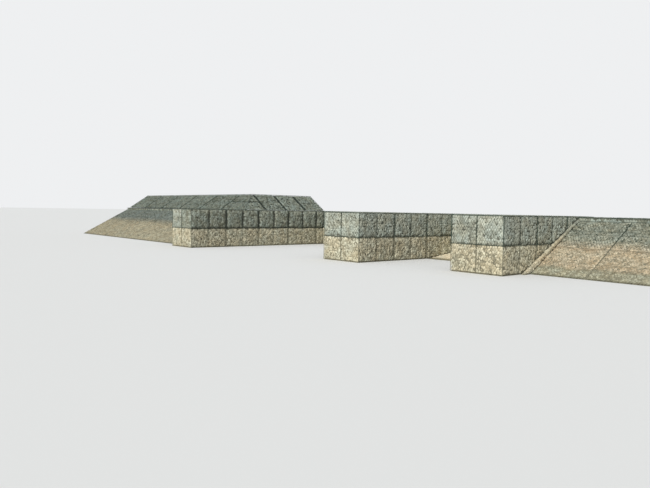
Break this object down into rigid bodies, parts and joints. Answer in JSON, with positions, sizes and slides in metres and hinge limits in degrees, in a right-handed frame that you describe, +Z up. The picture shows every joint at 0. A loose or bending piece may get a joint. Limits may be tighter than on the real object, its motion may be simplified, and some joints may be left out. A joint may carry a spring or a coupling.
{
  "type": "gabion wall",
  "caption": "Waterside gabion wall: stone-filled wire baskets in two-course piers, closing walls between them and mattress slopes beside them.",
  "frame": {"origin": "on the flat base at the waterline, under the middle of the whole wall", "axes": "+X along the shore from the first pier towards the third, +Y inland, +Z up"},
  "size_m": [39.1212, 10.5714, 2.9753],
  "materials": {
    "lower_stone": "rough broken stone, warm beige to cream, in wire mesh",
    "upper_stone": "rough broken stone, grey-green, in green coated wire mesh",
    "slope_stone": "rough broken stone, beige below and grey-green above, in wire mesh",
    "bank_stone": "rough broken stone, dark grey-green, in green coated wire mesh",
    "wire": "steel wire in a dark green coating"
  },
  "bodies": {
    "root": {"bay_1_wall_lacing": "wire", "bay_1_wall_lower_row": "lower_stone", "bay_1_wall_upper_row": "upper_stone", "bay_2_apron": "slope_stone", "bay_2_wall_lacing": "wire", "bay_2_wall_lower_row": "lower_stone", "bay_2_wall_upper_row": "upper_stone", "corner_strip": "slope_stone", "left_crest": "bank_stone", "left_slope_panel_1": "slope_stone", "left_slope_panel_2": "slope_stone", "left_slope_panel_3": "slope_stone", "left_slope_panel_4": "slope_stone", "left_slope_panel_5": "slope_stone", "left_slope_panel_6": "slope_stone", "left_slope_panel_7": "slope_stone", "left_slope_panel_8": "slope_stone", "left_upper_bank": "bank_stone", "pier_1_lacing": "wire", "pier_1_lower_left_row": "lower_stone", "pier_1_lower_right_row": "lower_stone", "pier_1_upper_bank": "bank_stone", "pier_1_upper_left_row": "upper_stone", "pier_1_upper_right_row": "upper_stone", "pier_2_lacing": "wire", "pier_2_lower_left_row": "lower_stone", "pier_2_lower_right_row": "lower_stone", "pier_2_upper_left_row": "upper_stone", "pier_2_upper_right_row": "upper_stone", "pier_3_lacing": "wire", "pier_3_lower_left_row": "lower_stone", "pier_3_lower_right_row": "lower_stone", "pier_3_upper_left_row": "upper_stone", "pier_3_upper_right_row": "upper_stone", "right_crest": "bank_stone", "right_slope_panel_1": "slope_stone", "right_slope_panel_2": "slope_stone"}
  },
  "joints": []
}
